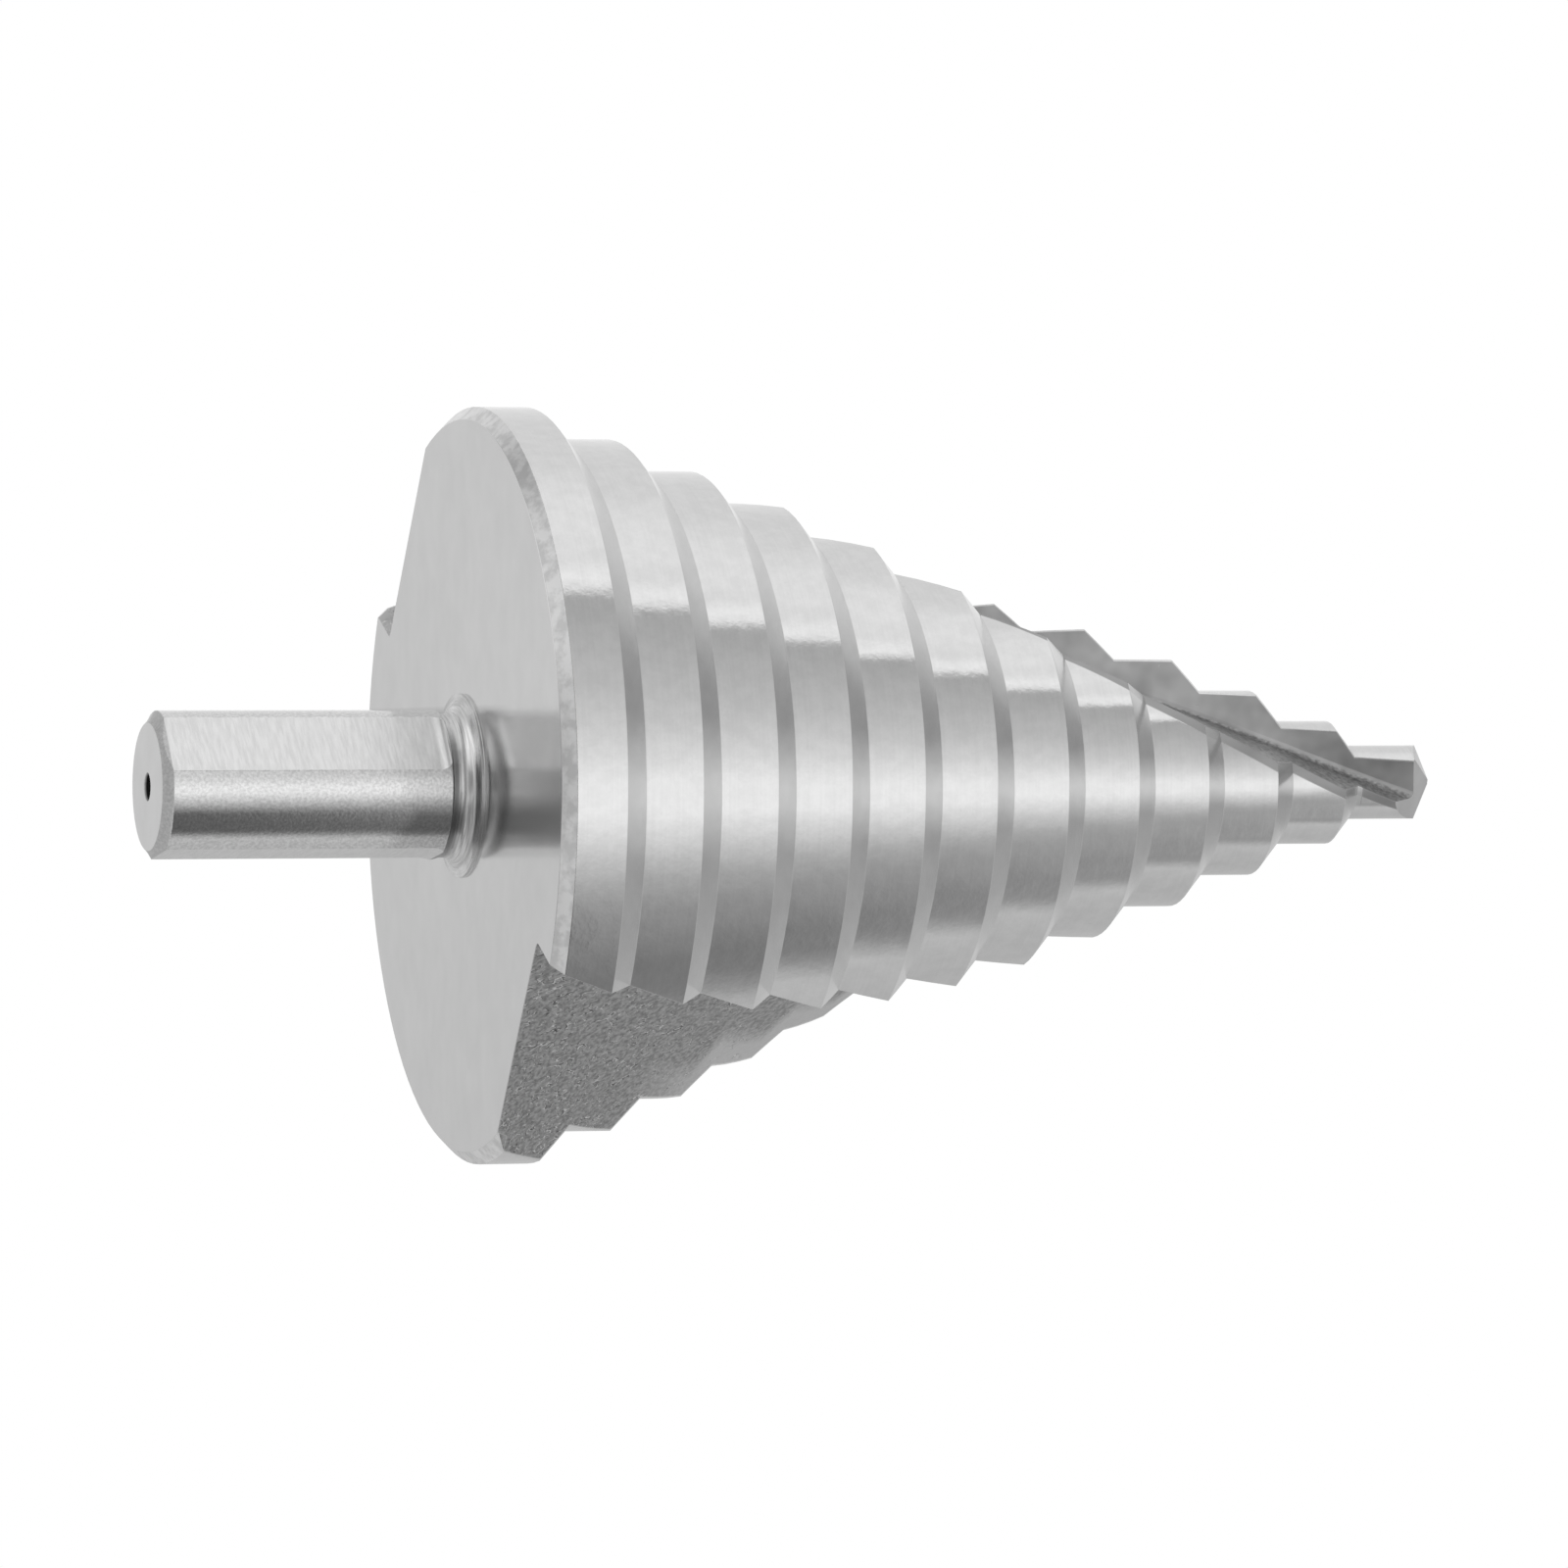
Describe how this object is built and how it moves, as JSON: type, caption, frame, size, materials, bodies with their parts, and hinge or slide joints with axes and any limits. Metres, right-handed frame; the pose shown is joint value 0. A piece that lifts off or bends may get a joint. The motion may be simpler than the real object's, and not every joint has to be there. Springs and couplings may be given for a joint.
{
  "type": "step drill",
  "caption": "Stepped conical drill bit for cutting and widening holes in sheet metal, with helical chip flutes and a round shank with chuck flats.",
  "frame": {"origin": "centre of the shank's flat end", "axes": "+Z along the axis from the shank to the point, -Y towards the side that the picture shows, -X towards the picture's top"},
  "size_m": [0.06, 0.06, 0.1075],
  "materials": {
    "steel": "ground and polished tool steel"
  },
  "bodies": {
    "root": {"step_drill": "steel"}
  },
  "joints": []
}
